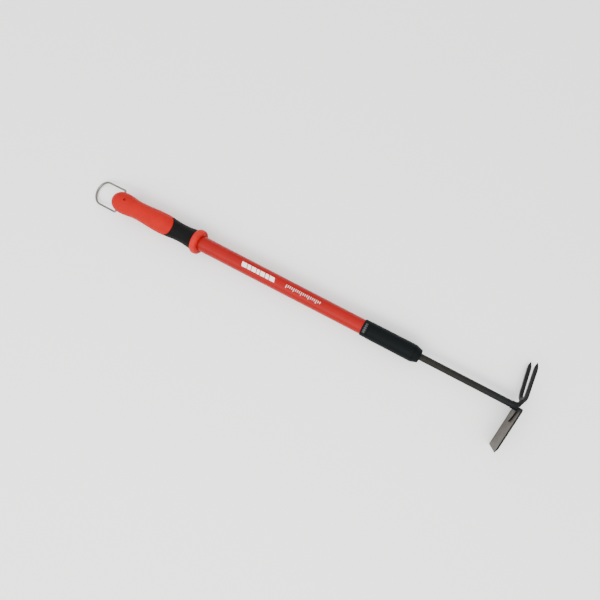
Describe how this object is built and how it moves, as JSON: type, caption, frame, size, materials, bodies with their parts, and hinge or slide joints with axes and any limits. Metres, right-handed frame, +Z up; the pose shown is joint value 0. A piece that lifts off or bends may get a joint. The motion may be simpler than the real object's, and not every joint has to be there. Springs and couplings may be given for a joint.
{
  "type": "stand up weeder",
  "caption": "Two-sided weeding hoe with a flat blade and a pointed tine fork, on a rod, ferrule and tube handle with a shaped grip and a hanging bail.",
  "frame": {"origin": "bottom centre of the object's box, on the surface that the tool lies on, below the handle's axis", "axes": "+X along the handle from the bail to the head, +Y to the fork's side, +Z up from the surface"},
  "size_m": [0.8026, 0.1608, 0.048],
  "materials": {
    "bail_steel": "satin, plain drawn wire",
    "red_grip": "matte, soft-feel moulding with a fine grain",
    "black_grip": "matte, soft-feel moulding with a fine grain",
    "red_flange": "satin moulding",
    "black_plastic": "satin moulding",
    "red_paint": "satin paint",
    "dark_steel": "dark lacquered steel",
    "blade_steel": "brown-grey rolled steel with a ground edge"
  },
  "bodies": {
    "tool": {"grip_body": "red_grip", "grip_black_sleeve": "black_grip", "grip_flange": "red_flange", "end_plug": "black_plastic", "grip_screw": "dark_steel", "tube": "red_paint", "ferrule_body": "black_plastic", "ferrule_nose": "black_plastic", "rod_bush_upper": "black_plastic", "rod_bush_lower": "black_plastic", "lock_pin": "bail_steel", "rod": "dark_steel", "head_hub": "dark_steel", "blade": "blade_steel", "fork": "dark_steel", "blade_gusset": "dark_steel"},
    "bail": {"bail": "bail_steel"}
  },
  "joints": [
    {"name": "bail_swing", "type": "hinge", "parent": "tool", "child": "bail", "pos_m": [-0.34197, 0.0017, 0.024], "axis": [0, 1, 0], "range_deg": [-139, 181]}
  ]
}
